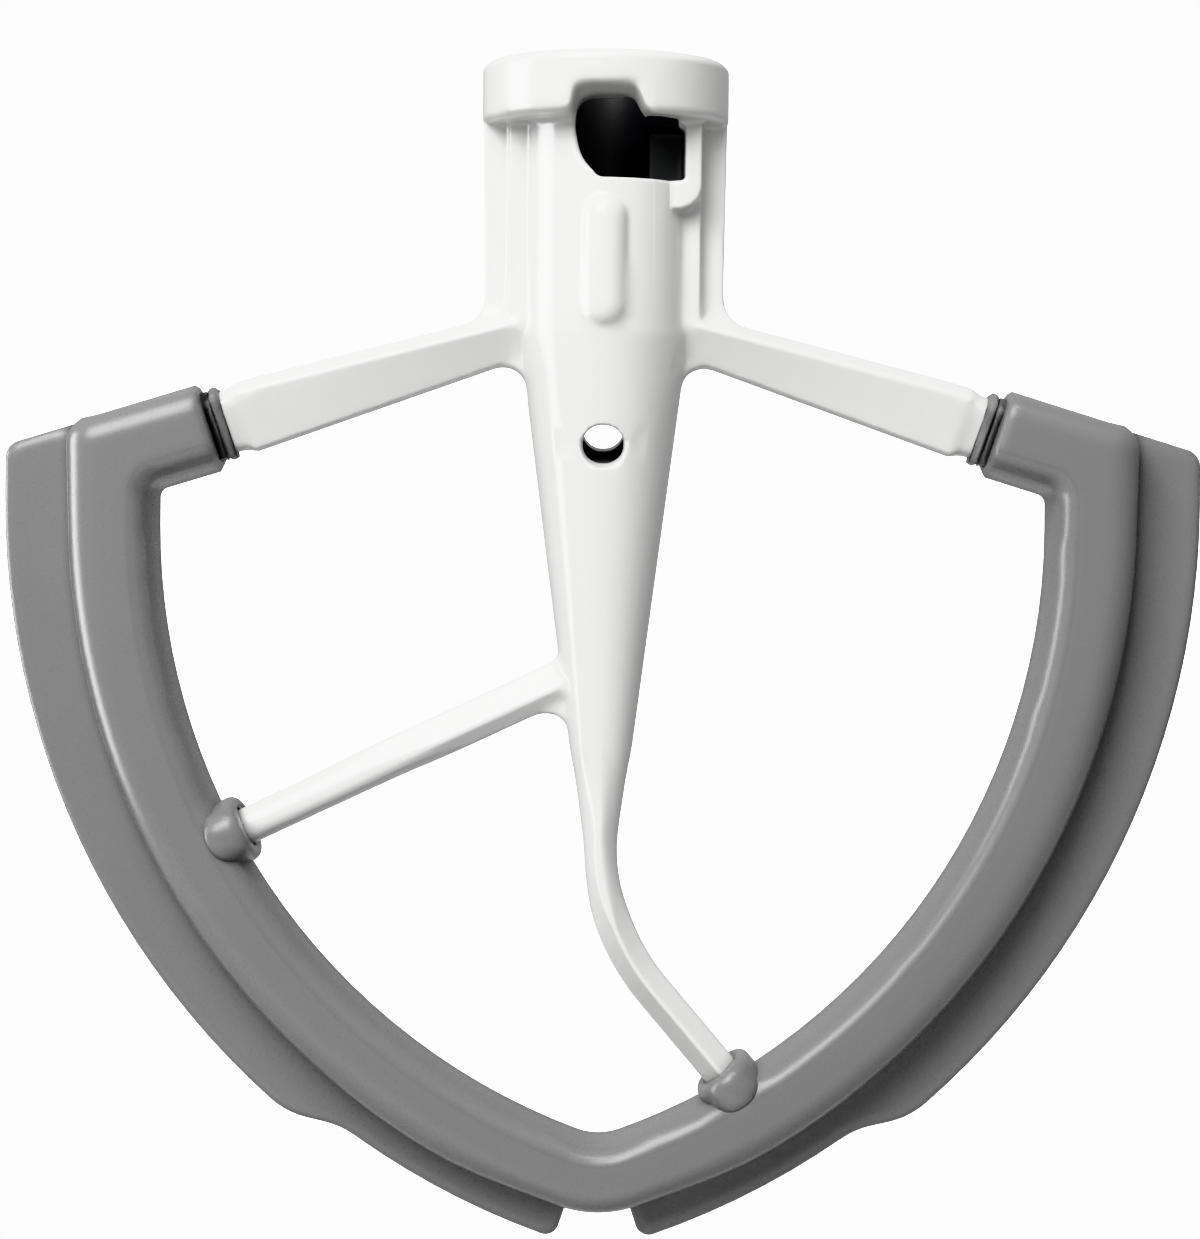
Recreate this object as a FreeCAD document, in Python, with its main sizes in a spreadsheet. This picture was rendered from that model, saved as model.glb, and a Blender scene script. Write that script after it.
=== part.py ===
import FreeCAD, Part
import math
import os
from FreeCAD import Rotation, Vector

# Flat beater for a tilt-head stand mixer, in millimetres and degrees.
# Origin: centre of the shaft bore's mouth on the hub's top face. +Z runs up the bore,
# +X to the side of the pin's keyway, and the bayonet slot faces -Y.
# Two pieces: a coated casting, and a soft edge moulded round its loop.

sizes = {
    # Hub
    "collar_radius": 16.05,
    "collar_depth": 8.0,
    "collar_top_bevel": 0.8,
    "collar_foot_bevel": 0.6,
    "tube_radius": 11.0,
    "web_reach": 15.9,
    "web_taper": 0.5,
    "web_thickness": 4.4,
    "web_sink": 0.3,
    "land_reach": 12.4,
    "land_thickness": 9.0,
    "land_foot_level": 35.0,
    "bore_radius": 5.6,
    "bore_depth": 51.5,
    # Keyway and bayonet slot for the shaft's pin
    "pin_radius": 3.1,
    "pin_clearance": 0.25,
    "keyway_angle": 48.0,
    "slot_floor_level": 15.7,
    "slot_roof_level": 5.1,
    "slot_run_height": 7.1,
    "slot_left_foot": 0.9,
    "slot_left_low": 2.9,
    "slot_left_high": 3.9,
    "slot_high_share": 0.62,
    "slot_low_share": 0.23,
    "slot_left_top": 3.4,
    "slot_right_top": 3.5,
    "slot_right_foot": 5.0,
    "slot_flare": 0.8,
    "slot_foot_round": 1.2,
    "slot_step_round": 1.0,
    "slot_roof_round": 1.8,
    "slot_lean_round": 3.0,
    "slot_heel_round": 2.0,
    "stop_thickness": 2.1,
    "stop_root": 1.5,
    "stop_front": 7.6,
    "stop_foot": 3.6,
    "stop_foot_round": 3.0,
    # Raised bead under the slot
    "bead_radius": 3.25,
    "bead_height": 1.5,
    "bead_top_level": 17.4,
    "bead_foot_level": 35.4,
    # Tapered stem and drain hole
    "stem_top_level": 35.5,
    "stem_foot_level": 101.8,
    "drain_radius": 2.8,
    "drain_level": 48.3,
    "drain_rise": 10.8,
    # Arms: stations run along an arm's own axis from the bore's axis
    "arm_level": 31.8,
    "arm_droop": 17.1,
    "arm_root_station": 9.0,
    "arm_root_height": 5.7,
    "arm_ridge_depth": 5.0,
    "arm_bevel": 1.6,
    "arm_corner": 3.9,
    "armpit_corner": 3.2,
    "shoulder_station": 49.6,
    "shoulder_height": 9.4,
    "shoulder_chamfer": 0.7,
    "neck_inset": 0.6,
    "lip_station": 51.0,
    "lip_width": 1.5,
    "lip_proud": 0.55,
    "lip_round": 0.6,
    "lip_groove_inset": 0.2,
    # Sleeve and rim of the soft edge, sized at the parting plane
    "sleeve_station": 53.3,
    "sleeve_height": 11.8,
    "sleeve_end_bevel": 0.5,
    "rim_outer_reach": 68.9,
    "rim_outer_radius": 95.8,
    "rim_outer_level": 58.2,
    "rim_inner_reach": 57.5,
    "rim_radius_drop": 12.4,
    "rim_inner_level": 60.0,
    "rim_depth": 18.0,
    "rim_draft": 1.5,
    "rim_outer_round": 2.8,
    "rim_inner_bevel": 2.0,
    "rim_outer_corner": 4.4,
    "rim_inner_corner": 1.3,
    "rim_outer_nose": 15.0,
    "rim_inner_nose": 8.0,
    # Loop of the casting inside the soft edge
    "skin": 2.9,
    "core_depth": 10.4,
    "neck_overlap": 3.0,
    # Spoke
    "spoke_level": 77.6,
    "spoke_droop": 25.3,
    "spoke_height": 5.4,
    "spoke_ridge_share": 0.63,
    "spoke_edge_thickness": 2.4,
    "spoke_ridge_depth": 2.9,
    "spoke_top_corner": 2.2,
    "spoke_foot_corner": 3.2,
    # Tail
    "tail_start_level": 84.0,
    "tail_bend_level": 101.2,
    "tail_bend_radius": 29.5,
    "tail_bend_angle": 40.5,
    "tail_width": 4.8,
    "tail_edge_thickness": 2.0,
    "tail_ridge_depth": 4.2,
    # Collars of the soft edge round the spoke and the tail
    "boss_proud": 1.4,
    "spoke_boss_height": 8.8,
    "tail_boss_width": 8.3,
    "boss_depth": 17.4,
    "boss_bevel": 0.8,
    # Wiper fins
    "fin_thickness": 2.5,
    "fin_reach": 77.7,
    "fin_wide_margin": 8.4,
    "fin_level": 56.7,
    "fin_narrow_margin": 5.3,
    "fin_step_from": 40.0,
    "fin_step_to": 36.3,
    "fin_step_round": 11.0,
    "fin_end_angle": 18.5,
    "fin_top_drop": 0.4,
    "fin_top_corner": 2.4,
    "fin_end_corner": 1.8,
    "fin_edge_bevel": 0.5,
    "fin_root": 4.0,
}

os.makedirs("parts", exist_ok=True)
doc = FreeCAD.newDocument("flat_beater")
sheet = doc.addObject("Spreadsheet::Sheet", "Sizes")
for row, (word, number) in enumerate(sizes.items(), start=1):
    sheet.set(f"A{row}", word)
    sheet.set(f"B{row}", str(number))
    sheet.setAlias(f"B{row}", word)
doc.recompute()

# Cutting bodies run this far past the surfaces that they open.
past = 1.0


def bound(kind, name, formulas, **links):
    """A document object with its properties tied to the sheet."""
    made = doc.addObject(kind, name)
    for prop, value in links.items():
        setattr(made, prop, value)
    for prop, formula in formulas.items():
        made.setExpression(prop, formula)
    return made


def held(name, shape, place=FreeCAD.Placement()):
    """A shape that no primitive or feature gives, kept as an object of the document."""
    made = doc.addObject("Part::Feature", name)
    made.Shape = shape
    made.Placement = place
    return made


def at(x, y, z):
    return FreeCAD.Placement(Vector(x, y, z), Rotation())


def picked(base, size, wanted):
    """The edges of an object that a test picks, in the form that a fillet or a chamfer takes."""
    doc.recompute()
    return [(n, size, size) for n, edge in enumerate(base.Shape.Edges, start=1) if wanted(edge)]


def rounded(name, base, radius, wanted):
    return bound("Part::Fillet", name, {}, Base=base, Edges=picked(base, radius, wanted))


def bevelled(name, base, width, wanted):
    return bound("Part::Chamfer", name, {}, Base=base, Edges=picked(base, width, wanted))


def joined(name, *pieces):
    return bound("Part::MultiFuse", name, {}, Shapes=list(pieces))


def mirrored(name, source, normal):
    return bound("Part::Mirroring", name, {}, Source=source, Base=Vector(), Normal=normal)


def swung(degrees):
    """Unit vector in the front plane, turned down from +X."""
    return Vector(math.cos(math.radians(degrees)), 0, -math.sin(math.radians(degrees)))


def below(centre, radius, degrees):
    """Point of a circle in the front plane, measured from straight down towards +X."""
    turn = math.radians(degrees)
    return centre + Vector(math.sin(turn), 0, -math.cos(turn)) * radius


def same_spot(one, other):
    """True where two points coincide in the front view."""
    return abs(one.x - other.x) < 0.01 and abs(one.z - other.z) < 0.01


def ring(points):
    return Part.makePolygon(points + points[:1])


def flipped(point):
    return Vector(-point.x, point.y, point.z)


def circle_meets(origin, heading, centre, radius):
    """Where a straight run from origin first leaves a circle that it starts inside of."""
    to_start = origin - centre
    along = to_start.dot(heading)
    return origin + heading * (math.sqrt(along ** 2 - to_start.dot(to_start) + radius ** 2) - along)


# Centres and directions that several forms share.
inner_radius = sheet.rim_outer_radius - sheet.rim_radius_drop
outer_centre = Vector(sheet.rim_outer_reach - sheet.rim_outer_radius, 0, -sheet.rim_outer_level)
inner_centre = Vector(sheet.rim_inner_reach - inner_radius, 0, -sheet.rim_inner_level)
middle_centre = (outer_centre + inner_centre) / 2
middle_radius = (sheet.rim_outer_radius + inner_radius) / 2
fin_wide_radius = sheet.rim_outer_radius + sheet.fin_wide_margin
fin_narrow_radius = sheet.rim_outer_radius + sheet.fin_narrow_margin
fin_centre = Vector(sheet.fin_reach - fin_wide_radius, 0, -sheet.fin_level)
arm_start = Vector(0, 0, -sheet.arm_level)
arm_heading = swung(sheet.arm_droop)
arm_up = Vector(math.sin(math.radians(sheet.arm_droop)), 0, math.cos(math.radians(sheet.arm_droop)))


def arm_height(station):
    """Height of an arm across its axis, which grows evenly towards the shoulder."""
    grown = (station - sheet.arm_root_station) / (sheet.shoulder_station - sheet.arm_root_station)
    return sheet.arm_root_height + grown * (sheet.shoulder_height - sheet.arm_root_height)


def ridged(name, middle, across, half, edge_depth, ridge_offset, ridge_depth):
    """Six-sided section: two narrow edges, with a ridge between them at the front and the back."""
    corners = [(half, -edge_depth), (ridge_offset, -ridge_depth), (-half, -edge_depth)]
    corners += [(step, -depth) for step, depth in reversed(corners)]
    return held(name, ring([middle + across * step + Vector(0, depth, 0) for step, depth in corners]))


def arm_section(name, station, inset):
    """Section of the right arm, drawn in from its faces. Its ridge lies near the top."""
    half = arm_height(min(station, sheet.shoulder_station)) / 2 - inset
    return ridged(
        name, arm_start + arm_heading * station, arm_up, half,
        (sheet.web_thickness - inset) / 2, half - sheet.arm_bevel, sheet.arm_ridge_depth - inset,
    )


def crosses_arm(edge, station):
    """True for an edge that lies square to the right arm's axis at a station."""
    return all(abs((vertex.Point - arm_start).dot(arm_heading) - station) < 0.01 for vertex in edge.Vertexes)


def lofted(name, *sections):
    return bound("Part::Loft", name, {}, Sections=list(sections), Solid=True, Ruled=True)


def build_arm():
    chamfer = sheet.shoulder_chamfer
    blade = lofted(
        "arm_blade",
        arm_section("arm_root", sheet.arm_root_station, 0),
        arm_section("arm_end", sheet.shoulder_station - chamfer, 0),
        arm_section("arm_shoulder", sheet.shoulder_station, chamfer),
    )
    neck = lofted(
        "arm_neck",
        arm_section("neck_start", sheet.shoulder_station - chamfer, sheet.neck_inset),
        arm_section("neck_end", sheet.sleeve_station + sheet.neck_overlap, sheet.neck_inset),
    )
    return joined("arm", blade, neck)


stem_slope = (sheet.tube_radius - sheet.tail_width / 2) / (sheet.stem_foot_level - sheet.stem_top_level)


def stem_side(level):
    """Half width of the stem's silhouette, kept just inside its surface."""
    return sheet.tube_radius - sheet.web_sink + stem_slope * (level + sheet.stem_top_level)


def web_outline():
    """Front outline of the right web. Its second and fifth corners are the arm's root and armpit."""
    half_start = arm_height(0) / 2
    rise = (arm_height(sheet.shoulder_station) / 2 - half_start) / sheet.shoulder_station

    def arm_edge(side, x):
        """Level of the arm's top or bottom edge at a distance from the bore's axis."""
        start = arm_start + arm_up * (side * half_start)
        run = arm_heading + arm_up * (side * rise)
        return start.z + run.z * (x - start.x) / run.x

    reach = sheet.web_reach
    root = reach - sheet.web_taper
    far = reach + 2 * sheet.arm_corner
    slope = (arm_edge(-1, far) - arm_edge(-1, 0)) / far
    pit_level = (arm_edge(-1, 0) + slope * stem_side(0)) / (1 - slope * stem_slope)
    foot_level = pit_level - 3 * sheet.armpit_corner
    return [
        Vector(0, 0, -sheet.collar_depth / 2),
        Vector(reach, 0, -sheet.collar_depth / 2),
        Vector(root, 0, arm_edge(1, root)),
        Vector(far, 0, arm_edge(1, far)),
        Vector(far, 0, arm_edge(-1, far)),
        Vector(stem_side(pit_level), 0, pit_level),
        Vector(stem_side(foot_level), 0, foot_level),
        Vector(0, 0, foot_level),
    ]


def extruded(name, base, thickness):
    """A flat face pushed both ways out of the front plane."""
    return bound(
        "Part::Extrusion", name, {"LengthFwd": f"Sizes.{thickness}"},
        Base=base, DirMode="Custom", Dir=Vector(0, 1, 0), Solid=True, Symmetric=True,
    )


def along(corner):
    """Picks the edge of an extruded plate that runs through a corner of its outline."""
    return lambda edge: edge.BoundBox.YLength > 0.1 and same_spot(edge.BoundBox.Center, corner)


def build_web():
    corners = web_outline()
    plate = extruded("web_plate", held("web_face", Part.Face(ring(corners))), "web_thickness")
    plate = rounded("web_rooted", plate, sheet.arm_corner, along(corners[2]))
    return rounded("web", plate, sheet.armpit_corner, along(corners[5]))


def edge_runs(inset, end_station):
    """Outer and inner run of the soft edge in the front plane, drawn in from its parting line."""
    half = sheet.sleeve_height / 2 - inset
    outer_x = sheet.rim_outer_reach - inset
    inner_x = sheet.rim_inner_reach + inset
    end = arm_start + arm_heading * end_station
    end_top = end + arm_up * half
    end_foot = end - arm_up * half
    slope = arm_heading.z / arm_heading.x
    top_corner = Vector(outer_x, 0, end_top.z + slope * (outer_x - end_top.x))
    foot_corner = Vector(inner_x, 0, end_foot.z + slope * (inner_x - end_foot.x))
    outer = corner_arc(end_top, top_corner, outer_centre, sheet.rim_outer_corner - inset)
    inner = corner_arc(end_foot, foot_corner, inner_centre, sheet.rim_inner_corner + inset)
    outer_side = Vector(outer_x, 0, outer_centre.z)
    inner_side = Vector(inner_x, 0, inner_centre.z)
    outer_run = sheet.rim_outer_radius - inset
    inner_run = inner_radius + inset
    outer_nose, outer_tip = nose(outer_centre, outer_run, sheet.rim_outer_nose - inset)
    inner_nose, inner_tip = nose(inner_centre, inner_run, sheet.rim_inner_nose + inset)

    def half_loop(start, corner, side, centre, radius, nose_point):
        turn = (math.degrees(math.atan2(nose_point.x - centre.x, centre.z - nose_point.z)) + 90) / 2
        return [
            Part.LineSegment(start, corner[0]),
            Part.Arc(*corner),
            Part.LineSegment(corner[2], side),
            Part.Arc(side, below(centre, radius, turn), nose_point),
        ]

    outer_half = half_loop(end_top, outer, outer_side, outer_centre, outer_run, outer_nose)
    inner_half = half_loop(end_foot, inner, inner_side, inner_centre, inner_run, inner_nose)
    runs = []
    for half_run, tip in ((outer_half, outer_tip), (inner_half, inner_tip)):
        right = [curve.toShape() for curve in half_run]
        left = [edge.mirror(Vector(), Vector(1, 0, 0)) for edge in right]
        end = right[-1].Vertexes[-1].Point
        runs.append(right + [Part.Arc(end, tip, flipped(end)).toShape()] + left[::-1])
    return runs


def edge_outline(inset, end_station):
    """Closed C of the soft edge, with a straight end on each sleeve."""
    outer, inner = edge_runs(inset, end_station)
    half = sheet.sleeve_height / 2 - inset
    end = arm_start + arm_heading * end_station
    closing = Part.makeLine(end + arm_up * half, end - arm_up * half)
    return Part.Wire(Part.__sortEdges__(outer + inner + [closing, closing.mirror(Vector(), Vector(1, 0, 0))]))


def corner_arc(start, corner, towards, radius):
    """Start, middle and end of the round between a run from start and the upright below corner."""
    coming = (start - corner).normalize()
    going = Vector(0, 0, towards.z - corner.z).normalize()
    bisector = (coming + going).normalize()
    half_angle = math.acos(coming.dot(going)) / 2
    back = radius / math.tan(half_angle)
    centre = corner + bisector * (radius / math.sin(half_angle))
    return corner + coming * back, centre - bisector * radius, corner + going * back


def nose(centre, radius, nose_radius):
    """Round that joins the two side arcs at the bottom: where it starts, and its lowest point."""
    drop = math.sqrt((radius - nose_radius) ** 2 - centre.x ** 2)
    nose_centre = Vector(0, 0, centre.z - drop)
    outward = (nose_centre - centre).normalize()
    return nose_centre + outward * nose_radius, nose_centre - Vector(0, 0, nose_radius)


def build_loop():
    """The casting's loop: the soft edge's outline drawn in by its skin."""
    inner_end = sheet.sleeve_station + sheet.neck_overlap / 2
    face = held("loop_face", Part.Face(edge_outline(sheet.skin, inner_end)))
    return extruded("loop", face, "core_depth")


def spoke_line():
    """Start, direction and end of the spoke, from the bore's axis to the middle of the loop."""
    start = Vector(0, 0, -sheet.spoke_level)
    heading = flipped(swung(sheet.spoke_droop))
    end = circle_meets(start, heading, flipped(middle_centre), middle_radius)
    return start, heading, end


def build_spoke():
    start, heading, end = spoke_line()
    up = Vector(heading.z, 0, -heading.x)
    half = sheet.spoke_height / 2
    offset = half - sheet.spoke_ridge_share * sheet.spoke_height
    ends = [
        ridged(name, middle, up, half, sheet.spoke_edge_thickness / 2, offset, sheet.spoke_ridge_depth)
        for name, middle in (("spoke_start", start), ("spoke_end", end))
    ]
    return lofted("spoke", *ends)


def build_spoke_root():
    """Thin plate in the spoke's middle that rounds its corners with the stem."""
    start, heading, _ = spoke_line()
    up = Vector(heading.z, 0, -heading.x)
    half = sheet.spoke_height / 2
    far = start.x + heading.x * (sheet.tube_radius + 2 * sheet.spoke_foot_corner)

    def spoke_edge(side, x):
        edge_start = start + up * (side * half)
        return edge_start.z + heading.z * (x - edge_start.x) / heading.x

    def meeting(side):
        """Where a long edge of the spoke meets the stem's left side."""
        slope = heading.z / heading.x
        level = (spoke_edge(side, 0) - slope * stem_side(0)) / (1 + slope * stem_slope)
        return Vector(-stem_side(level), 0, level)

    top, foot = meeting(1), meeting(-1)
    if top.z < foot.z:
        top, foot = foot, top
    upper, lower = (1, -1) if up.z > 0 else (-1, 1)
    above = top.z + 2 * sheet.spoke_top_corner
    under = foot.z - 2 * sheet.spoke_foot_corner
    corners = [
        Vector(0, 0, above),
        Vector(-stem_side(above), 0, above),
        top,
        Vector(far, 0, spoke_edge(upper, far)),
        Vector(far, 0, spoke_edge(lower, far)),
        foot,
        Vector(-stem_side(under), 0, under),
        Vector(0, 0, under),
    ]
    face = held("spoke_root_face", Part.Face(ring(corners)))
    plate = extruded("spoke_root_plate", face, "spoke_edge_thickness")
    plate = rounded("spoke_root_topped", plate, sheet.spoke_top_corner, along(top))
    return rounded("spoke_root", plate, sheet.spoke_foot_corner, along(foot))


def tail_line():
    """Path of the tail: down the bore's axis, round the bend, and straight to the loop."""
    bend_start = Vector(0, 0, -sheet.tail_bend_level)
    centre = bend_start + Vector(sheet.tail_bend_radius, 0, 0)
    turn = math.radians(sheet.tail_bend_angle)
    around = [
        centre + Vector(-math.cos(part), 0, -math.sin(part)) * sheet.tail_bend_radius
        for part in (turn / 2, turn)
    ]
    heading = Vector(math.sin(turn), 0, -math.cos(turn))
    end = circle_meets(around[1], heading, middle_centre, middle_radius)
    return bend_start, around, heading, end


def build_tail():
    bend_start, around, heading, end = tail_line()
    start = Vector(0, 0, -sheet.tail_start_level)
    path = Part.Wire([
        Part.makeLine(start, bend_start),
        Part.Arc(bend_start, *around).toShape(),
        Part.makeLine(around[1], end),
    ])
    spine = held("tail_path", path)
    section = ridged(
        "tail_section", start, Vector(1, 0, 0),
        sheet.tail_width / 2, sheet.tail_edge_thickness / 2, 0, sheet.tail_ridge_depth,
    )
    return bound(
        "Part::Sweep", "tail", {},
        Sections=[section], Spine=(spine, ["Edge1", "Edge2", "Edge3"]), Solid=True, Frenet=False,
    )


def build_hub():
    collar = bound("Part::Cylinder", "collar_blank", {
        "Radius": "Sizes.collar_radius",
        "Height": "Sizes.collar_depth",
        "Placement.Base.z": "-Sizes.collar_depth",
    })

    def level(wanted):
        return lambda edge: edge.BoundBox.ZLength < 0.01 and abs(edge.BoundBox.Center.z - wanted) < 0.01

    collar = bevelled("collar_topped", collar, sheet.collar_top_bevel, level(0))
    collar = bevelled("collar", collar, sheet.collar_foot_bevel, level(-sheet.collar_depth))
    tube = bound("Part::Cylinder", "tube", {
        "Radius": "Sizes.tube_radius",
        "Height": "Sizes.stem_top_level - Sizes.collar_depth / 2",
        "Placement.Base.z": "-Sizes.stem_top_level",
    })
    stem = bound("Part::Cone", "stem", {
        "Radius1": "Sizes.tail_width / 2",
        "Radius2": "Sizes.tube_radius",
        "Height": "Sizes.stem_foot_level - Sizes.stem_top_level",
        "Placement.Base.z": "-Sizes.stem_foot_level",
    })
    lands = bound("Part::Box", "lands", {
        "Length": "2 * Sizes.land_reach",
        "Width": "Sizes.land_thickness",
        "Height": "Sizes.land_foot_level - Sizes.collar_depth / 2",
        "Placement.Base.x": "-Sizes.land_reach",
        "Placement.Base.y": "-Sizes.land_thickness / 2",
        "Placement.Base.z": "-Sizes.land_foot_level",
    })
    return [collar, tube, stem, lands, build_bead(), build_stop()]


def build_bead():
    """Raised upright bead with round ends, let into the front of the tube."""
    radius = sheet.bead_radius
    depth = sheet.tube_radius + sheet.bead_height - radius
    straight = sheet.bead_foot_level - sheet.bead_top_level - 2 * radius
    body = Part.makeCylinder(radius, straight)
    top = Part.makeSphere(radius, Vector(0, 0, straight))
    shape = body.fuse([top, Part.makeSphere(radius)]).removeSplitter()
    return held("bead", shape, at(0, -depth, radius - sheet.bead_foot_level))


def build_stop():
    """Thick wall that ends the slot, with a round foot that runs back into the tube."""
    left = sheet.land_reach - sheet.stop_thickness - sheet.stop_root
    right = sheet.land_reach
    top = -sheet.collar_depth / 2
    foot = -sheet.slot_floor_level - sheet.stop_foot
    points = [Vector(left, 0, top), Vector(right, 0, top), Vector(right, 0, foot), Vector(left, 0, foot)]
    block = Part.Face(ring(points)).extrude(Vector(0, -sheet.stop_front, 0))
    corner = [edge for edge in block.Edges if same_spot(edge.BoundBox.Center, points[2])]
    return held("slot_stop", block.makeFillet(sheet.stop_foot_round, corner))


def slot_outline(grow):
    """Front outline of the bayonet slot: a high pocket that leans left, and a low run to the right."""
    floor = -sheet.slot_floor_level
    roof = -sheet.slot_roof_level
    run_roof = floor + sheet.slot_run_height
    right = sheet.land_reach - sheet.stop_thickness
    points = [
        Vector(-sheet.slot_left_foot, 0, floor),
        Vector(right, 0, floor),
        Vector(right, 0, run_roof),
        Vector(sheet.slot_right_foot, 0, run_roof),
        Vector(sheet.slot_right_top, 0, roof),
        Vector(-sheet.slot_left_top, 0, roof),
        Vector(-sheet.slot_left_high, 0, floor + sheet.slot_high_share * (roof - floor)),
        Vector(-sheet.slot_left_low, 0, floor + sheet.slot_low_share * (roof - floor)),
    ]
    wire = ring(points)
    return wire.makeOffset2D(grow, 2) if grow else wire


def build_slot():
    through = Part.Face(slot_outline(0)).extrude(Vector(0, -sheet.collar_radius - past, 0))
    corners = slot_outline(0).OrderedVertexes
    # By the corner's number, counted from the left end of the slot's floor.
    corner_rounds = {
        0: sheet.slot_foot_round,
        3: sheet.slot_step_round,
        4: sheet.slot_step_round,
        5: sheet.slot_roof_round,
        6: sheet.slot_lean_round,
        7: sheet.slot_heel_round,
    }
    for number, radius in corner_rounds.items():
        corner = [
            edge for edge in through.Edges
            if edge.BoundBox.YLength > past and same_spot(edge.BoundBox.Center, corners[number].Point)
        ]
        through = through.makeFillet(radius, corner)
    return held("slot_cut", through)


def build_flare():
    """Widens the slot from the tube's face to the collar's, and as much again outside it."""
    start = -sheet.tube_radius
    end = start - 2 * (sheet.collar_radius - sheet.tube_radius)
    return lofted(
        "flare_cut",
        held("flare_start", slot_outline(0), at(0, start, 0)),
        held("flare_end", slot_outline(2 * sheet.slot_flare), at(0, end, 0)),
    )


def build_cuts():
    bore = bound("Part::Cylinder", "bore_cut", {
        "Radius": "Sizes.bore_radius",
        "Height": f"Sizes.bore_depth + {past}",
        "Placement.Base.z": "-Sizes.bore_depth",
    })
    room = sheet.pin_radius + sheet.pin_clearance
    length = sheet.tube_radius + past
    channel = Part.makeBox(2 * room, length, sheet.slot_floor_level + past, Vector(-room, -length, 0))
    turned = Rotation(Vector(0, 0, 1), sheet.keyway_angle)
    keyway = held("keyway_cut", channel, FreeCAD.Placement(Vector(0, 0, -sheet.slot_floor_level), turned))
    reach = 2 * sheet.tube_radius
    tilt = math.radians(sheet.drain_rise)
    along = Vector(0, math.cos(tilt), math.sin(tilt))
    drain = held("drain_cut", Part.makeCylinder(
        sheet.drain_radius, 2 * reach, Vector(0, 0, -sheet.drain_level) - along * reach, along
    ))
    return [bore, keyway, build_slot(), build_flare(), drain]


def build_casting():
    arm = build_arm()
    web = build_web()
    sideways = Vector(1, 0, 0)
    solid = joined(
        "casting_blank", *build_hub(), arm, mirrored("arm_left", arm, sideways),
        web, mirrored("web_left", web, sideways), build_loop(),
        build_spoke(), build_spoke_root(), build_tail(),
    )
    for cut in build_cuts():
        solid = bound("Part::Cut", f"after_{cut.Name}", {}, Base=solid, Tool=cut)
    solid.Label = "beater_casting"
    return solid


def build_rim():
    """Front half of the rim and sleeves, drafted from the parting plane, and its mirror image."""
    half_depth = sheet.rim_depth / 2
    station = sheet.sleeve_station
    blank = lofted(
        "rim_blank",
        held("rim_parting", edge_outline(0, station)),
        held("rim_front", edge_outline(sheet.rim_draft, station), at(0, -half_depth, 0)),
    )
    outer, inner = edge_runs(sheet.rim_draft, station)

    def front_edges(run):
        spots = [edge.CenterOfMass for edge in run]
        return lambda edge: (
            abs(edge.CenterOfMass.y + half_depth) < 0.01
            and any(same_spot(edge.CenterOfMass, spot) for spot in spots)
        )

    def sleeve_ends(edge):
        """The edges round both sleeves' mouths, without those on the parting plane."""
        at_mouth = crosses_arm(edge, station) or crosses_arm(edge.mirror(Vector(), Vector(1, 0, 0)), station)
        return at_mouth and edge.CenterOfMass.y < -0.01

    rim = rounded("rim_rounded", blank, sheet.rim_outer_round, front_edges(outer))
    rim = bevelled("rim_bevelled", rim, sheet.rim_inner_bevel, front_edges(inner))
    rim = bevelled("rim_half", rim, sheet.sleeve_end_bevel, sleeve_ends)
    return [rim, mirrored("rim_back", rim, Vector(0, 1, 0))]


def fin_outline():
    """Outline of the right fin, from the sleeve's top line round to its lower end."""
    root_x = sheet.rim_outer_reach - sheet.fin_root
    slope = arm_heading.z / arm_heading.x
    top = arm_start + arm_heading * sheet.sleeve_station + arm_up * (sheet.sleeve_height / 2 - sheet.fin_top_drop)

    def top_point(x):
        return Vector(x, 0, top.z + slope * (x - top.x))

    def arc(radius, first, last):
        return Part.Arc(
            below(fin_centre, radius, first),
            below(fin_centre, radius, (first + last) / 2),
            below(fin_centre, radius, last),
        ).toShape()

    end = sheet.fin_end_angle
    root_radius = sheet.rim_outer_radius - sheet.fin_root
    wide_end = below(fin_centre, fin_wide_radius, sheet.fin_step_from)
    narrow_start = below(fin_centre, fin_narrow_radius, sheet.fin_step_to)
    narrow_end = below(fin_centre, fin_narrow_radius, end)
    outward = (narrow_end - fin_centre).normalize()
    root_end = narrow_end + outward * (root_radius - (narrow_end - outer_centre).dot(outward))
    root_turn = math.degrees(math.atan2(root_end.x - outer_centre.x, outer_centre.z - root_end.z))
    return Part.Wire([
        Part.makeLine(top_point(root_x), top_point(sheet.fin_reach)),
        Part.makeLine(top_point(sheet.fin_reach), Vector(sheet.fin_reach, 0, fin_centre.z)),
        arc(fin_wide_radius, 90, sheet.fin_step_from),
        Part.makeLine(wide_end, narrow_start),
        arc(fin_narrow_radius, sheet.fin_step_to, end),
        Part.makeLine(narrow_end, root_end),
        Part.Arc(
            root_end, below(outer_centre, root_radius, (root_turn + 90) / 2), Vector(root_x, 0, outer_centre.z)
        ).toShape(),
        Part.makeLine(Vector(root_x, 0, outer_centre.z), top_point(root_x)),
    ])


def build_fin():
    outline = fin_outline()
    plate = extruded("fin_plate", held("fin_face", Part.Face(outline)), "fin_thickness")
    across = [along(vertex.Point) for vertex in outline.OrderedVertexes]
    shaped = rounded("fin_topped", plate, sheet.fin_top_corner, across[1])
    shaped = rounded("fin_stepped", shaped, sheet.fin_step_round, lambda e: across[3](e) or across[4](e))
    shaped = rounded("fin_ended", shaped, sheet.fin_end_corner, across[5])
    return bevelled("fin", shaped, sheet.fin_edge_bevel, lambda e: e.BoundBox.YLength < 0.01)


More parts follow.
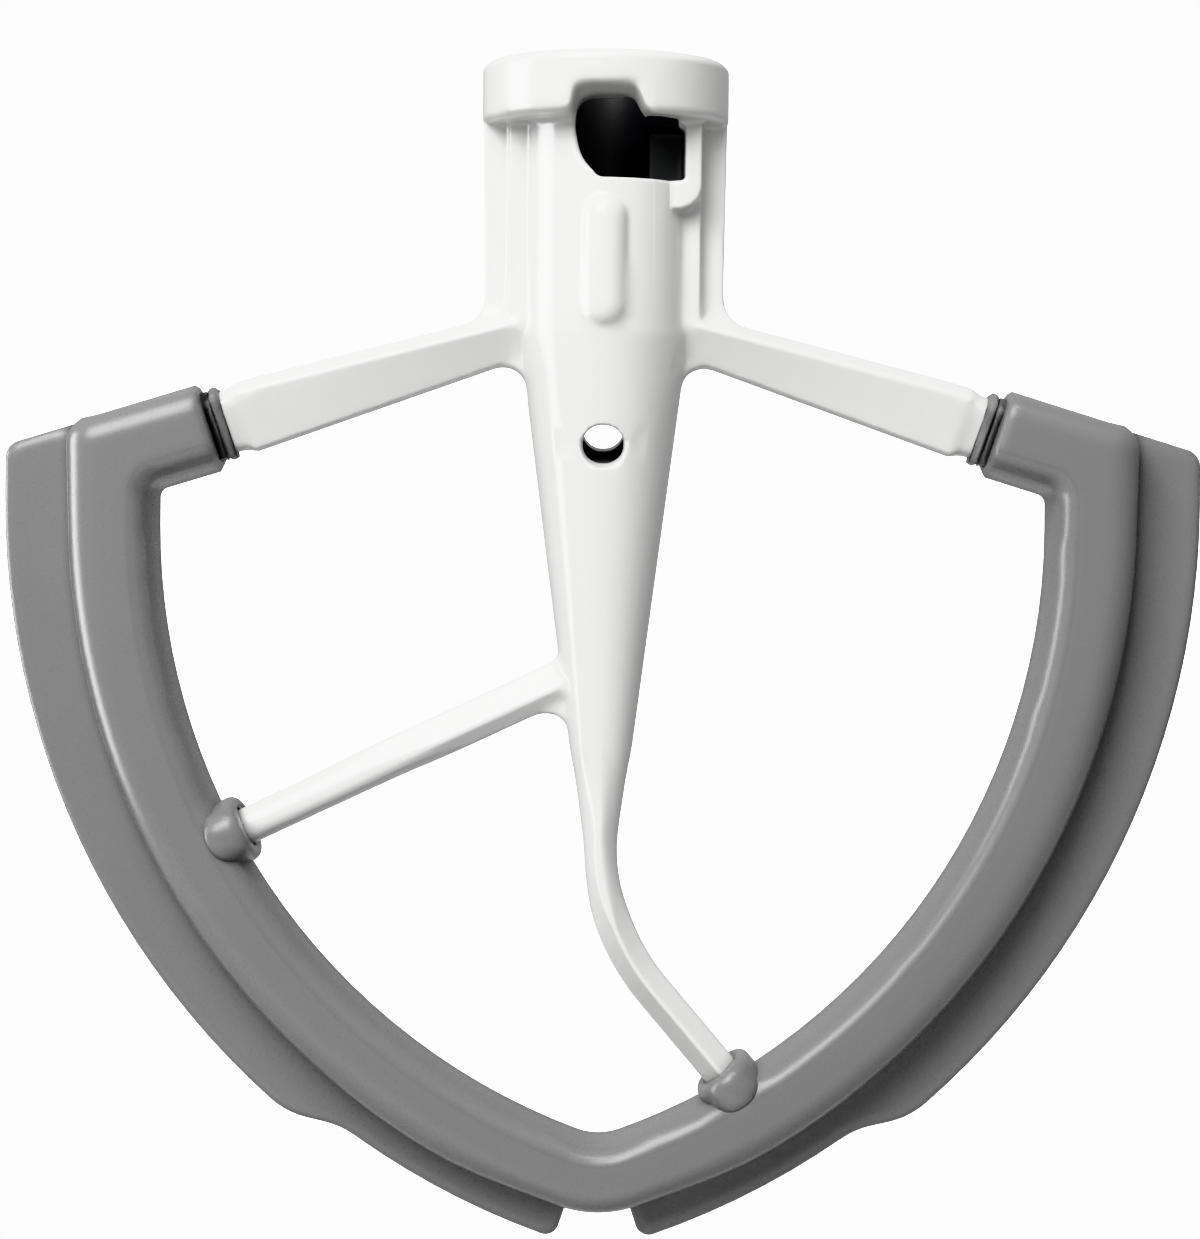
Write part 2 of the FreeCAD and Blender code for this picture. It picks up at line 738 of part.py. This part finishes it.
def build_lip():
    """Round ring of the soft edge on the arm's neck, and the thin sleeve behind it."""
    end = sheet.lip_station + sheet.lip_width
    blank = lofted(
        "lip_blank",
        arm_section("lip_start", sheet.lip_station, -sheet.lip_proud),
        arm_section("lip_end", end, -sheet.lip_proud),
    )
    lip = rounded(
        "lip_rounded", blank, sheet.lip_round,
        lambda edge: crosses_arm(edge, sheet.lip_station) or crosses_arm(edge, end),
    )
    groove = lofted(
        "lip_groove",
        arm_section("groove_start", sheet.lip_station + sheet.lip_width / 2, sheet.lip_groove_inset),
        arm_section("groove_end", sheet.sleeve_station + past, sheet.lip_groove_inset),
    )
    return joined("lip", lip, groove)


def build_boss(name, origin, heading, end, side_centre, height):
    """Oval collar of the soft edge round a member that runs into the rim."""
    wall = circle_meets(origin, heading, side_centre, inner_radius)
    face = wall - heading * sheet.boss_proud
    tall = sheet.boss_depth / 2
    oval = Part.Ellipse(Vector(), tall, height / 2).toShape()
    length = (end - face).Length
    body = Part.Face(Part.Wire(oval)).extrude(Vector(0, 0, length))
    rim_edges = [edge for edge in body.Edges if edge.BoundBox.ZMax < 0.01]
    across = heading.cross(Vector(0, 1, 0))
    turned = Rotation(Vector(0, 1, 0), across, heading, "ZXY")
    return held(name, body.makeChamfer(sheet.boss_bevel, rim_edges), FreeCAD.Placement(face, turned))


def build_edge(casting):
    fin = build_fin()
    lip = build_lip()
    sideways = Vector(1, 0, 0)
    spoke_start, spoke_heading, spoke_end = spoke_line()
    tail_start, tail_points, tail_heading, tail_end = tail_line()
    bosses = [
        build_boss("spoke_boss", spoke_start, spoke_heading, spoke_end,
                   flipped(inner_centre), sheet.spoke_boss_height),
        build_boss("tail_boss", tail_points[1], tail_heading, tail_end,
                   inner_centre, sheet.tail_boss_width),
    ]
    solid = joined(
        "edge_blank", *build_rim(), fin, mirrored("fin_left", fin, sideways),
        lip, mirrored("lip_left", lip, sideways), *bosses,
    )
    edge = bound("Part::Cut", "soft_edge", {}, Base=solid, Tool=casting)
    edge.Label = "flex_edge"
    return edge


casting = build_casting()
soft_edge = build_edge(casting)
doc.recompute()

for made in doc.Objects:
    if "Invalid" in made.State or "Error" in made.State:
        raise RuntimeError(f"{made.Label} failed: {made.State}")
for made in (casting, soft_edge):
    shape = made.Shape
    if shape.isNull() or not shape.isValid() or len(shape.Solids) != 1:
        raise RuntimeError(f"{made.Label} isn't one valid solid: {len(shape.Solids)}")
for made in (casting, soft_edge):
    made.Shape.exportStep(f"parts/{made.Label}.step")
    print(made.Label, round(made.Shape.Volume / 1000, 2), "cm3")
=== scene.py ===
import math

import bmesh
import bpy
import numpy as np
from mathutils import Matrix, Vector


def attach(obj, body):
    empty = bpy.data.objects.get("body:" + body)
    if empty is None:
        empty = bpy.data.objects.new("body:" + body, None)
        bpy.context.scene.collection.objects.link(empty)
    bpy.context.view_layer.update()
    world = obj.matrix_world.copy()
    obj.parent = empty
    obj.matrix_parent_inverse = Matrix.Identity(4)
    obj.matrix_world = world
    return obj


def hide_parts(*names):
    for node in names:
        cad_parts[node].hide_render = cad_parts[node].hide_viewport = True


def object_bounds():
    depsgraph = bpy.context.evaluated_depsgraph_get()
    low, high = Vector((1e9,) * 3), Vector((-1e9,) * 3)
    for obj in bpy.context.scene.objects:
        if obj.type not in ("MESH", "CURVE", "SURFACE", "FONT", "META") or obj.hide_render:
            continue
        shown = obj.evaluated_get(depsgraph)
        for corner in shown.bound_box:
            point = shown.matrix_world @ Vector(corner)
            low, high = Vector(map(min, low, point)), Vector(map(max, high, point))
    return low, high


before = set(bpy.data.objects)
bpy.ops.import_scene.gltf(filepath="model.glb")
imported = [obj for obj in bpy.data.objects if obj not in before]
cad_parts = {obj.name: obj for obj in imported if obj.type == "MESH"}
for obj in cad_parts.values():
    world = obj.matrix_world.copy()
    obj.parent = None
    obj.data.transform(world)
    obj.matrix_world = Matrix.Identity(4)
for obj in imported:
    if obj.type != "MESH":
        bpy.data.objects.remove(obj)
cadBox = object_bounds()
scene = bpy.context.scene
mm = 0.001


def linearColour(hexCode):
    parts = [int(hexCode[i:i + 2], 16) / 255 for i in (0, 2, 4)]
    return tuple(p / 12.92 if p <= 0.04045 else ((p + 0.055) / 1.055) ** 2.4 for p in parts) + (1.0,)


def addNode(tree, kind, inputs=None, **settings):
    node = tree.nodes.new(kind)
    for name, value in settings.items():
        setattr(node, name, value)
    for name, value in (inputs or {}).items():
        if isinstance(value, bpy.types.NodeSocket):
            tree.links.new(value, node.inputs[name])
        else:
            node.inputs[name].default_value = value
    return node


def addPiece(name, data):
    piece = bpy.data.objects.new(name, data)
    scene.collection.objects.link(piece)
    return piece


# Camera: level, in front of the slot, a touch rolled.
shot = {
    "distance": 480,       # mm from the hub's axis
    "eyeLevel": -72.1,     # mm
    "side": -0.22,         # mm
    "heightSeen": 161.33,  # mm of the object that the frame's height takes in
    "roll": 0.45,          # degrees
    "filmHeight": 36,
}
lens = bpy.data.cameras.new("studioLens")
lens.sensor_width = shot["filmHeight"]
lens.lens = shot["filmHeight"] * shot["distance"] / shot["heightSeen"]
lens.clip_start = 0.01
camera = addPiece("studioCamera", lens)
camera.location = (shot["side"] * mm, -shot["distance"] * mm, shot["eyeLevel"] * mm)
camera.rotation_euler = (math.pi / 2, -math.radians(shot["roll"]), 0)
scene.camera = camera
print("camera set")


def bakeModifiers(piece):
    graph = bpy.context.evaluated_depsgraph_get()
    mesh = bpy.data.meshes.new_from_object(piece.evaluated_get(graph))
    piece.modifiers.clear()
    piece.data = mesh
    mesh.name = piece.name


def vectors(mesh, name):
    flat = np.empty(len(mesh.vertices) * 3)
    mesh.vertices.foreach_get(name, flat)
    return flat.reshape(-1, 3)


def moveVertices(mesh, spots):
    mesh.vertices.foreach_set("co", spots.ravel())
    mesh.update()


def fade(none, full, value):
    t = np.clip((value - none) / (full - none), 0, 1)
    return t * t * (3 - 2 * t)


# The casting's shape: the CAD solid's surface, with its inner corners filled as a die rounds them.
casting = {
    "voxel": 0.3,            # mm
    "ease": 0.5,             # share of the way to its neighbours' middle that a point goes in a pass
    "easeBack": -0.52,       # and back again, so that nothing shrinks
    "steadyPasses": 8,       # even out the grid
    "softPasses": 2,         # take the sharpness off the outer corners
    "fillPasses": 90,        # grow fillets in the inner corners
    "normalsEvery": 15,      # passes of that, then it looks again which way is out
    "triangles": 185000,
    # Zones of the casting, mm: a measure, where the zone starts along it and where it is full
    "zones": {
        "armRoot": (("height", -24, -32), ("height", -62, -48), ("reach", 27, 19)),
        "stemFoot": (("height", -70, -78), ("height", -104, -98), ("reach", 11, 8)),
        "slotRim": (("height", -1.5, -3.5), ("height", -15, -11), ("side", 6.5, 5), ("depth", -7, -9)),
        "armShoulder": (("reach", 44.5, 46.5), ("height", -30, -36)),
        "tailRoot": (("height", -88, -94), ("height", -112, -104)),
    },
    "plainFill": 0.04,       # share of the fillets everywhere
    "filled": {"armRoot": 1.0, "stemFoot": 0.6},
    "worn": {"slotRim": 34, "armShoulder": 30, "tailRoot": 120},  # passes that wear a zone rounder
    # Round forms turned true again: top and foot level, top and foot radius, mm
    "turned": {
        "collar": (-1.0, -7.2, 16.05, 16.05),
        "tube": (-8.2, -35.3, 11.0, 11.0),
        "stem": (-35.7, -98.0, 10.974, 2.893),
    },
    "turnedNear": 0.12,      # mm, points further than this from the round form are left alone
}


def relax(mesh, shares, weight=1.0, fillOnly=False):
    spots = vectors(mesh, "co")
    count = len(spots)
    ends = np.empty(len(mesh.edges) * 2, int)
    mesh.edges.foreach_get("vertices", ends)
    first, second = ends.reshape(-1, 2).T
    degree = np.bincount(ends, minlength=count)[:, None]
    for turn, share in enumerate(shares):
        near = np.stack([
            np.bincount(first, spots[second, k], count) + np.bincount(second, spots[first, k], count)
            for k in range(3)
        ], axis=1) / degree
        move = near - spots
        if fillOnly:  # outwards alone, so hollows fill up and outer corners stay
            if turn % casting["normalsEvery"] == 0:
                moveVertices(mesh, spots)
                outward = vectors(mesh, "normal")
            move = outward * np.maximum((move * outward).sum(axis=1, keepdims=True), 0)
        spots += share * weight * move
    moveVertices(mesh, spots)


def turnTrue(mesh, forms):
    spots = vectors(mesh, "co") / mm
    across = np.hypot(spots[:, 0], spots[:, 1])
    for top, foot, topRadius, footRadius in forms.values():
        down = (top - spots[:, 2]) / (top - foot)
        true = topRadius + down * (footRadius - topRadius)
        near = (down > 0) & (down < 1) & (np.abs(across - true) < casting["turnedNear"])
        spots[near, :2] *= (true / np.maximum(across, 1e-6))[near, None]
    moveVertices(mesh, spots * mm)


def castBody():
    body = addPiece("coatedCasting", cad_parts["beater_casting"].data.copy())
    grid = body.modifiers.new("grid", "REMESH")
    grid.mode = "VOXEL"
    grid.voxel_size = casting["voxel"] * mm
    bakeModifiers(body)
    ease = casting["ease"]
    relax(body.data, [ease, casting["easeBack"]] * casting["steadyPasses"])
    turnTrue(body.data, casting["turned"])

    side, depth, height = (vectors(body.data, "co") / mm).T
    measures = {"side": side, "depth": depth, "height": height, "reach": np.abs(side)}
    zones = {
        name: math.prod(fade(start, full, measures[measure]) for measure, start, full in limits)[:, None]
        for name, limits in casting["zones"].items()
    }
    fill = casting["plainFill"]
    for name, share in casting["filled"].items():
        fill = np.maximum(fill, zones[name] * share)
    relax(body.data, [ease] * casting["fillPasses"], fill, fillOnly=True)
    relax(body.data, [ease] * casting["softPasses"])
    for name, passes in casting["worn"].items():
        relax(body.data, [ease] * passes, zones[name])

    thin = body.modifiers.new("thin", "DECIMATE")
    thin.ratio = min(1, casting["triangles"] / (2 * len(body.data.polygons)))
    bakeModifiers(body)
    moveVertices(body.data, np.clip(vectors(body.data, "co"), *cadBox))
    body.data.shade_smooth()
    return body


body = castBody()
print("casting:", len(body.data.polygons), "triangles")

# The rubber edge keeps the CAD faces. Their bevels are shaded as rounds, up to the corner named.
edge = {
    "weld": 0.005,           # mm
    "flatTo": 0.5,           # degrees, triangles this level with each other become one face
    "roundedUpTo": 58,       # degrees
    # The ring on each sleeve's lip sits down into the sleeve's outline, mm along and across the arm
    "lip": {
        "level": -31.8,      # where the arms' axes cross the bore's axis
        "droop": 17.1,       # degrees
        "reach": (50.9, 52.6),
        "outerHalf": 7,      # nothing further from the arm's axis is ring
        "half": 4.72,        # half the arm's height there
        "ridge": (3.1, 5.0),  # where the arm is deepest: how far above its axis, and half the depth
        "sides": 2.2,        # half its depth at its upper and lower sides
        "middle": 51.75,
        "gap": 0.15,         # added between ring and sleeve
        "size": 0.906,
    },
    # The rim's outer side swells out over the fin, in a circle, mm
    "swell": {
        "centre": (-26.9, -58.2),
        "front": 91.0,       # radius of what moves at the front
        "wall": 94.0,        # and near the fin
        "rim": 96.3,         # beyond this radius is the fin
        "finHalf": 1.2,
        "core": 5.3,         # depths from the fin's middle out to the front
        "flank": 6.6,
        "depth": 9.0,
        "out": 0.75,
        "moreOnTop": 0.4,    # share added at the top corner
        "moreFrom": (-62, -48),
        "topEnd": (-43, -47),
        "nose": (6, 22),     # from the middle, where the swell starts
    },
}


def drawLipIn(spots, lip):
    droop = math.radians(lip["droop"])
    reach, drop = np.abs(spots[:, 0]), spots[:, 2] - lip["level"]
    along = reach * math.cos(droop) - drop * math.sin(droop)
    upward = reach * math.sin(droop) + drop * math.cos(droop)
    half, sides, (ridgeLevel, ridgeDepth) = lip["half"], lip["sides"], lip["ridge"]
    skin = np.interp(upward, [-half, ridgeLevel, half], [sides, ridgeDepth, sides])
    proud = (np.abs(upward) > half) | (np.abs(spots[:, 1]) > skin)
    inReach = (along > lip["reach"][0]) & (along < lip["reach"][1])
    ring = proud & (np.abs(upward) < lip["outerHalf"]) & inReach
    along = np.where(ring & (along > lip["middle"]), along - lip["gap"], along)
    upward = np.where(ring, upward * lip["size"], upward)
    spots[:, 1] = np.where(ring, spots[:, 1] * lip["size"], spots[:, 1])
    spots[:, 0] = np.sign(spots[:, 0]) * (along * math.cos(droop) + upward * math.sin(droop))
    spots[:, 2] = lip["level"] - along * math.sin(droop) + upward * math.cos(droop)


def swellRim(spots, swell):
    reach, depth = np.abs(spots[:, 0]) - swell["centre"][0], np.abs(spots[:, 1])
    drop = spots[:, 2] - swell["centre"][1]
    away = np.hypot(reach, drop)
    innerEnd = np.where(depth < swell["core"], swell["wall"], swell["front"])
    wall = (depth > swell["finHalf"]) & (away > innerEnd) & (away < swell["rim"])
    crown = np.clip((depth - swell["flank"]) / (swell["depth"] - swell["flank"]), 0, 1)
    outward = swell["out"] * (1 - crown ** 2)
    outward *= 1 + swell["moreOnTop"] * fade(*swell["moreFrom"], spots[:, 2])
    outward *= wall * fade(*swell["topEnd"], spots[:, 2]) * fade(*swell["nose"], np.abs(spots[:, 0]))
    spots[:, 0] += np.sign(spots[:, 0]) * outward * reach / away
    spots[:, 2] += outward * drop / away


def rubberEdge():
    soft = addPiece("siliconeEdge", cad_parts["flex_edge"].data.copy())
    welded = bmesh.new()
    welded.from_mesh(soft.data)
    bmesh.ops.remove_doubles(welded, verts=welded.verts, dist=edge["weld"] * mm)
    bmesh.ops.dissolve_limit(
        welded, angle_limit=math.radians(edge["flatTo"]), verts=welded.verts, edges=welded.edges,
    )
    welded.to_mesh(soft.data)
    welded.free()
    spots = vectors(soft.data, "co") / mm
    drawLipIn(spots, edge["lip"])
    swellRim(spots, edge["swell"])
    moveVertices(soft.data, spots * mm)
    soft.data.shade_smooth()
    soft.data.set_sharp_from_angle(angle=math.radians(edge["roundedUpTo"]))
    flats = soft.modifiers.new("flats", "WEIGHTED_NORMAL")
    flats.keep_sharp = True
    bakeModifiers(soft)
    return soft


soft = rubberEdge()
print("edge:", len(soft.data.polygons), "faces")

# Collars where spoke and tail run into the rim: squared ovals with a rounded open end.
collar = {
    # Middle of the open end, degrees from level, half width across, mm
    "places": {
        "spoke": ((-46.05, -99.37), 205.3, 4.4),
        "tail": ((15.83, -130.62), -49.5, 4.15),
    },
    "cover": 0.04,           # mm, lies this much outside the solid's own collar
    "depth": 9.45,           # mm, half the size from front to back
    "mouth": ((0.25, 1.6), (-0.15, 1.5), (-0.25, 1.3)),  # mm, how far in and how far inside the outline
    "lipRound": 1.1,         # mm, at the open end
    "length": 5.4,           # mm
    "tailRound": 2.3,        # mm, the round that sinks into the rim
    "squareness": 2.6,       # exponent of the oval: 2 is an ellipse, more is squarer
    "around": 96,
    "lipSteps": 9,
    "tailSteps": 12,
}


def collarProfile():
    start = collar["mouth"][-1][0]
    profile = list(collar["mouth"])
    for turn in np.linspace(0, math.pi / 2, collar["lipSteps"])[::-1]:
        radius = collar["lipRound"]
        profile.append((radius * (1 - math.sin(turn)) + start, radius * (1 - math.cos(turn))))
    for turn in np.linspace(0, math.pi / 2, collar["tailSteps"]):
        radius = collar["tailRound"]
        profile.append((collar["length"] - radius * (1 - math.sin(turn)), radius * (1 - math.cos(turn))))
    return profile


def squared(value):
    return math.copysign(abs(value) ** (2 / collar["squareness"]), value)


def collarRound(name, place, heading, half):
    heading = math.radians(heading)
    forward = Vector((math.cos(heading), 0, math.sin(heading)))
    across = Vector((-math.sin(heading), 0, math.cos(heading)))
    around = collar["around"]
    profile = collarProfile()
    points, faces = [], []
    for inwards, inset in profile:
        for k in range(around):
            turn = 2 * math.pi * k / around
            points.append(
                Vector((place[0], 0, place[1])) + forward * inwards
                + across * (half + collar["cover"] - inset) * squared(math.cos(turn))
                + Vector((0, collar["depth"] - inset, 0)) * squared(math.sin(turn))
            )
    for row in range(len(profile) - 1):
        for k in range(around):
            one, two = row * around + k, row * around + (k + 1) % around
            faces.append((one, two, two + around, one + around))
    mesh = bpy.data.meshes.new(name + "Collar")
    mesh.from_pydata([p * mm for p in points], [], faces)
    mesh.shade_smooth()
    return addPiece(name + "Collar", mesh)


collars = [collarRound(name, *seat) for name, seat in collar["places"].items()]
print("collars:", len(collars))

dressed = {"beater_casting": (body, "coated_casting"), "flex_edge": (soft, "edge_rubber")}
for node, (piece, slotName) in dressed.items():
    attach(piece, "root")
    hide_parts(node)
for piece in collars:
    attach(piece, "root")


def newMaterial(name):
    material = bpy.data.materials.new(name)
    material.use_nodes = True
    tree = material.node_tree
    return material, tree, tree.nodes["Principled BSDF"]


def unevenNormal(tree, pattern, tilt, worn=None):
    lean = addNode(tree, "ShaderNodeVectorMath", {
        0: pattern.outputs["Color"], 1: (0.5, 0.5, 0.5),
    }, operation="SUBTRACT")
    small = addNode(tree, "ShaderNodeVectorMath", {0: lean.outputs[0], "Scale": tilt}, operation="SCALE")
    straight = addNode(tree, "ShaderNodeNewGeometry").outputs["Normal"]
    if worn:
        straight = addNode(tree, "ShaderNodeBevel", {"Radius": worn * mm}, samples=16).outputs["Normal"]
    both = addNode(tree, "ShaderNodeVectorMath", {0: straight, 1: small.outputs[0]}, operation="ADD")
    return addNode(tree, "ShaderNodeVectorMath", {0: both.outputs[0]}, operation="NORMALIZE").outputs[0]


# Painted shade: darkens a colour in corners and creases, the more the closer the surfaces round it
# (ambient occlusion).
def paintCreaseShade(tree, tint, creaseShade):
    reach, left = creaseShade
    openness = addNode(tree, "ShaderNodeAmbientOcclusion", {"Distance": reach * mm}, samples=16)
    share = addNode(tree, "ShaderNodeMapRange", {
        "Value": openness.outputs["AO"], "To Min": left, "To Max": 1.0,
    })
    return addNode(tree, "ShaderNodeMix", {
        "Factor": 1.0, 6: tint, 7: share.outputs["Result"],
    }, data_type="RGBA", blend_type="MULTIPLY").outputs[2]


def clouded(tree, place, finish):
    cloud = addNode(tree, "ShaderNodeTexNoise", {
        "Vector": place, "Scale": 1 / (finish["cloud"] * mm), "Detail": finish["cloudDetail"],
    })
    return addNode(tree, "ShaderNodeMix", {
        "Factor": cloud.outputs["Fac"],
        6: linearColour(finish["colour"]), 7: linearColour(finish["shade"]),
    }, data_type="RGBA").outputs[2]


# Baked epoxy powder coat on die-cast aluminium. It reads as a thick glossy white: lamps show as
# bright bands with soft ends, and a faint orange peel makes them waver.
coat = {
    "colour": "EBEBEA",
    "shade": "E7E7E6",
    "cloud": 16.7,           # mm
    "cloudDetail": 2.0,
    "peel": 2.6,             # mm from crest to crest
    "tilt": 0.02,            # how far its slopes lean, as a share of the normal
    "roughness": 0.19,
    "ior": 1.52,
    "creaseShade": (1.5, 0.45),   # mm, and what is left of the colour deep in a corner: painted shade in corners and creases
    # The insides of bore and slot are painted near-black and rougher: painted shade, for the shadow deep
    # in the hole.
    "holeShadeColour": "1C1C1E",
    "holeRoughness": 0.5,
    "bore": (6.0, -52.2, -0.8),    # mm, just outside its wall, then its foot and top
    "slot": (10.3, -15.9, -6.2),
    "maskEdge": 0.3,         # mm, width of the edge of the painted shade
}


def powderCoat():
    material, tree, shader = newMaterial("bakedPowderCoat")
    place = addNode(tree, "ShaderNodeTexCoord").outputs["Object"]
    peel = addNode(tree, "ShaderNodeTexNoise", {
        "Vector": place, "Scale": 1 / (coat["peel"] * mm), "Detail": 1.0, "Roughness": 0.4,
    })
    apart = addNode(tree, "ShaderNodeSeparateXYZ", {"Vector": place})
    flat = addNode(tree, "ShaderNodeCombineXYZ", {"X": apart.outputs["X"], "Y": apart.outputs["Y"]})
    away = addNode(tree, "ShaderNodeVectorMath", {0: flat.outputs["Vector"]}, operation="LENGTH")

    def ramp(value, low, high):
        return addNode(tree, "ShaderNodeMapRange", {
            "Value": value, "From Min": low * mm, "From Max": high * mm,
        }).outputs["Result"]

    def times(one, other):
        return addNode(tree, "ShaderNodeMath", {0: one, 1: other}, operation="MULTIPLY").outputs[0]

    def within(radius, foot, top):
        blur = coat["maskEdge"]
        inside = ramp(away.outputs["Value"], radius + blur / 2, radius - blur / 2)
        above = ramp(apart.outputs["Z"], foot, foot + blur)
        below = ramp(apart.outputs["Z"], top, top - blur)
        return times(inside, times(above, below))

    # Painted shade: near-black inside bore and slot, for the shadow deep in the hole.
    holeShadeMask = addNode(tree, "ShaderNodeMath", {
        0: within(*coat["bore"]), 1: within(*coat["slot"]),
    }, operation="MAXIMUM").outputs[0]
    # The coat's colour, with painted shade in its corners and creases and inside bore and slot.
    paint = addNode(tree, "ShaderNodeMix", {
        "Factor": holeShadeMask, 6: paintCreaseShade(tree, clouded(tree, place, coat), coat["creaseShade"]),
        7: linearColour(coat["holeShadeColour"]),
    }, data_type="RGBA")
    tree.links.new(paint.outputs[2], shader.inputs["Base Color"])
    rough = addNode(tree, "ShaderNodeMapRange", {
        "Value": holeShadeMask, "To Min": coat["roughness"], "To Max": coat["holeRoughness"],
    })
    tree.links.new(rough.outputs["Result"], shader.inputs["Roughness"])
    tree.links.new(unevenNormal(tree, peel, coat["tilt"]), shader.inputs["Normal"])
    shader.inputs["IOR"].default_value = coat["ior"]
    return material


# Silicone rubber moulded in a spark-eroded tool. It reads as a plain satin grey: the tool's fine
# grain spreads each lamp into a wide soft band along the rounds, and the flats stay dull.
silicone = {
    "colour": "818181",
    "shade": "7D7D7D",
    "cloud": 14,             # mm
    "cloudDetail": 3.0,
    "grain": 0.5,            # mm, drawn coarser than the real 0.1 mm so that it shows
    "tilt": 0.012,           # how far the grain leans the surface, as a share of the normal
    "worn": 2.2,             # mm, radius that its edges shade as
    "creaseShade": (1.2, 0.3),    # mm, and what is left of the colour deep in a corner: painted shade in corners and creases
    "roughness": 0.28,
    "roughnessSpread": 0.02,
    "ior": 1.5,
}


def mouldedSilicone():
    material, tree, shader = newMaterial("mouldedSilicone")
    place = addNode(tree, "ShaderNodeTexCoord").outputs["Object"]
    grain = addNode(tree, "ShaderNodeTexNoise", {
        "Vector": place, "Scale": 1 / (silicone["grain"] * mm), "Detail": 1.0, "Roughness": 0.5,
    })
    # Painted shade in the corners and creases of the grey.
    tint = paintCreaseShade(tree, clouded(tree, place, silicone), silicone["creaseShade"])
    tree.links.new(tint, shader.inputs["Base Color"])
    rough = addNode(tree, "ShaderNodeMapRange", {
        "Value": grain.outputs["Fac"],
        "To Min": silicone["roughness"] - silicone["roughnessSpread"],
        "To Max": silicone["roughness"] + silicone["roughnessSpread"],
    })
    tree.links.new(rough.outputs["Result"], shader.inputs["Roughness"])
    normal = unevenNormal(tree, grain, silicone["tilt"], silicone["worn"])
    tree.links.new(normal, shader.inputs["Normal"])
    shader.inputs["IOR"].default_value = silicone["ior"]
    return material


body.data.materials.clear()
body.data.materials.append(powderCoat())
rubber = mouldedSilicone()
for piece in (soft, *collars):
    piece.data.materials.clear()
    piece.data.materials.append(rubber)
print("materials made")

# Studio: a pale floor well below the hanging part, a soft key, and strips that draw the edges.
studio = {
    "floorLevel": -340,      # mm
    "floorSize": 1700,       # mm
    "floorColour": "F4F4F4",
    "floorRoughness": 0.8,
    "floorGlow": 0.25,
    "aim": (0, 0, -80),      # mm
    # Degrees left of the camera, degrees up, mm away, mm wide, mm tall, W per square metre
    "lamps": {
        "key": (24, 38, 900, 570, 570, 30),
        "leftStrip": (88, 0, 700, 320, 700, 36),
        "topStrip": (10, 66, 700, 500, 90, 36),
    },
    "mirroredOnly": ("leftStrip", "topStrip"),
    # The room round it: where its brighter side lies, how far the sides blend, and both strengths
    "brightSide": (-0.25, 0.1, 0.4),
    "blend": 0.5,
    "dark": 0.24,
    "light": 0.65,
    "backdrop": 3.6,         # what the camera sees past the part, bright enough to come out white
}


def layFloor():
    half = studio["floorSize"] / 2 * mm
    mesh = bpy.data.meshes.new("studioFloor")
    corners = [(-half, -half, 0), (half, -half, 0), (half, half, 0), (-half, half, 0)]
    mesh.from_pydata(corners, [], [(0, 1, 2, 3)])
    floor = addPiece("studioFloor", mesh)
    floor.location.z = studio["floorLevel"] * mm
    floor.visible_diffuse = False  # keeps the undersides as dark as over a far floor
    paper, _, shader = newMaterial("paleBackgroundPaper")
    shader.inputs["Base Color"].default_value = linearColour(studio["floorColour"])
    shader.inputs["Roughness"].default_value = studio["floorRoughness"]
    shader.inputs["Emission Color"].default_value = (1, 1, 1, 1)
    shader.inputs["Emission Strength"].default_value = studio["floorGlow"]
    mesh.materials.append(paper)


def hangLamp(name, left, up, away, wide, tall, glow):
    left, up = math.radians(left), math.radians(up)
    lamp = bpy.data.lights.new(name, "AREA")
    lamp.shape = "RECTANGLE"
    lamp.size = wide * mm
    lamp.size_y = tall * mm
    lamp.energy = glow * lamp.size * lamp.size_y
    holder = addPiece(name, lamp)
    holder.visible_diffuse = name not in studio["mirroredOnly"]
    toLamp = Vector((-math.sin(left) * math.cos(up), -math.cos(left) * math.cos(up), math.sin(up)))
    holder.location = Vector(studio["aim"]) * mm + toLamp * away * mm
    holder.rotation_euler = toLamp.to_track_quat("Z", "Y").to_euler()


def lightRoom():
    sky = bpy.data.worlds.new("studioSky")
    sky.use_nodes = True
    scene.world = sky
    tree = sky.node_tree
    tree.nodes.clear()
    path = addNode(tree, "ShaderNodeLightPath")
    seen = addNode(tree, "ShaderNodeBackground", {"Color": (1, 1, 1, 1), "Strength": studio["backdrop"]})
    way = addNode(tree, "ShaderNodeTexCoord").outputs["Generated"]
    facing = addNode(tree, "ShaderNodeVectorMath", {
        0: way, 1: studio["brightSide"],
    }, operation="DOT_PRODUCT")
    strength = addNode(tree, "ShaderNodeMapRange", {
        "Value": facing.outputs["Value"], "From Min": -studio["blend"], "From Max": studio["blend"],
        "To Min": studio["dark"], "To Max": studio["light"],
    }).outputs["Result"]
    given = addNode(tree, "ShaderNodeBackground", {"Color": (1, 1, 1, 1), "Strength": strength})
    mixed = addNode(tree, "ShaderNodeMixShader", {
        0: path.outputs["Is Camera Ray"], 1: given.outputs[0], 2: seen.outputs[0],
    })
    addNode(tree, "ShaderNodeOutputWorld", {"Surface": mixed.outputs[0]})


layFloor()
for name, setting in studio["lamps"].items():
    hangLamp(name, *setting)
lightRoom()
scene.view_settings.view_transform = "Khronos PBR Neutral"
print("studio lit")
